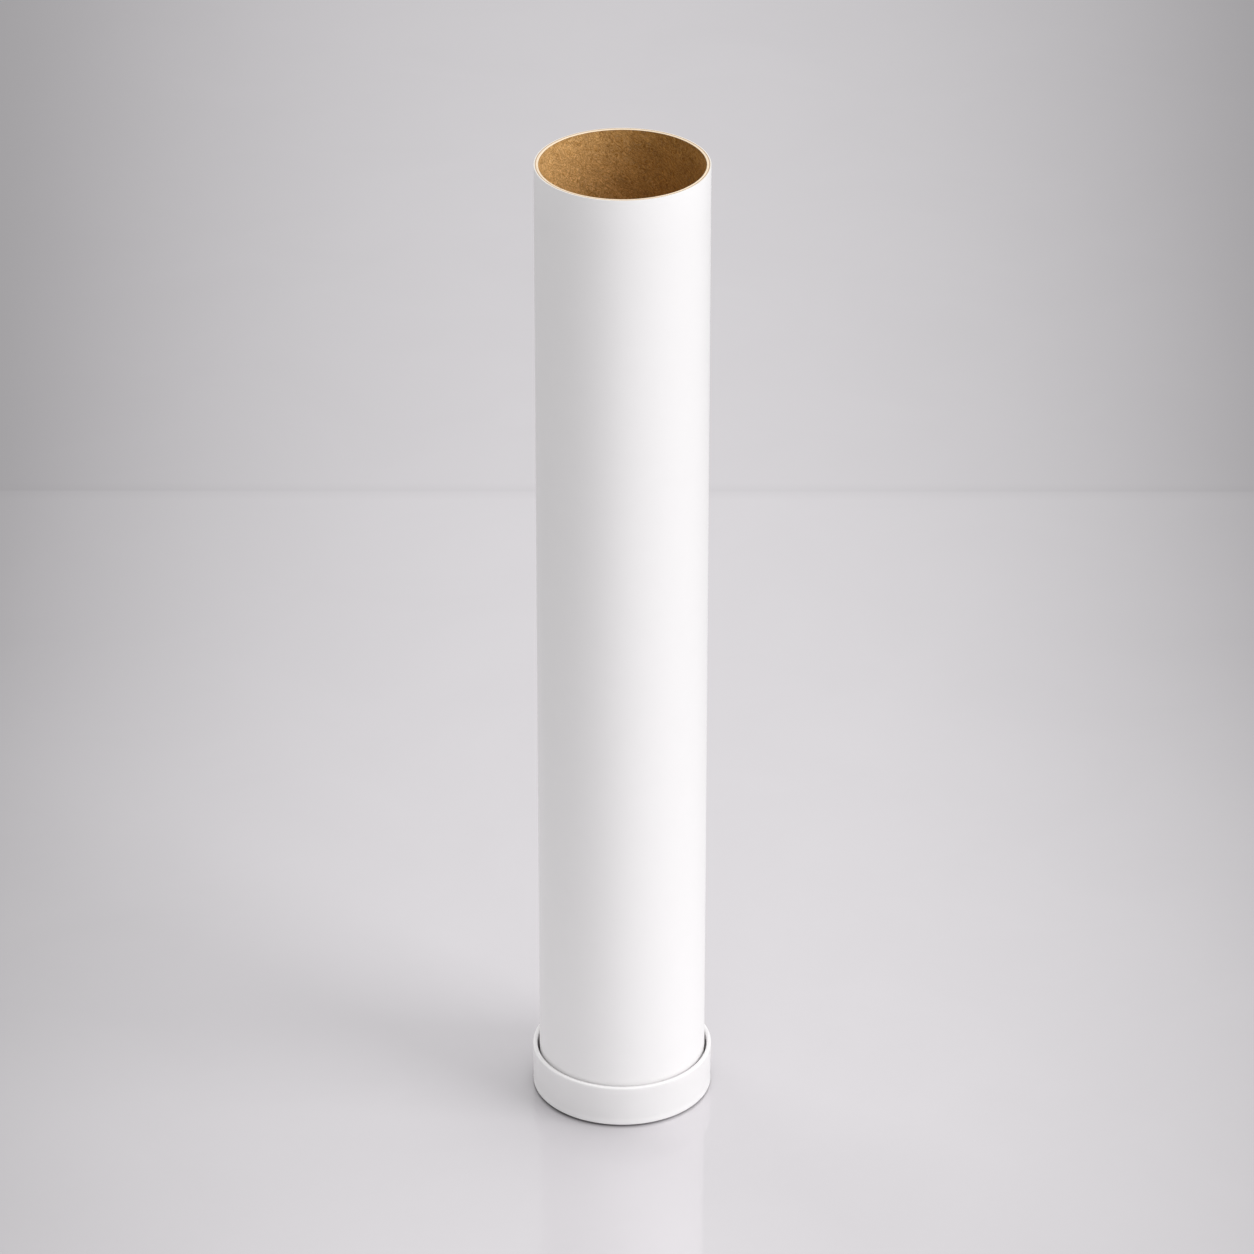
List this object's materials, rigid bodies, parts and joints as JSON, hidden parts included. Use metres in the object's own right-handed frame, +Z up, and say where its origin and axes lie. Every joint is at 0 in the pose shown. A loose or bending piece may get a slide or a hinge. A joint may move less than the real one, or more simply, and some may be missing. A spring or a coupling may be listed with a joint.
{
  "type": "cardboard mailing tube",
  "caption": "Round cardboard mailing tube with a white paper wrap, a brown board wall and bore, one open end and a white push-on plastic cap that it stands on.",
  "frame": {"origin": "centre of the cap's flat underside, which the tube stands on", "axes": "+Z up along the tube's axis, towards its open end; X and Y are any two directions square to it, because every piece is round"},
  "size_m": [0.0584, 0.0584, 0.3294],
  "materials": {
    "board": "matte",
    "wrap_paper": "satin",
    "cap_plastic": "satin"
  },
  "bodies": {
    "cap": {"end_cap": "cap_plastic"},
    "tube": {"board_tube": "board", "white_wrap": "wrap_paper"}
  },
  "joints": [
    {"name": "cap_pull_off", "type": "slide", "parent": "cap", "child": "tube", "axis": [0, 0, 1], "range_m": [0, 0.015]}
  ]
}
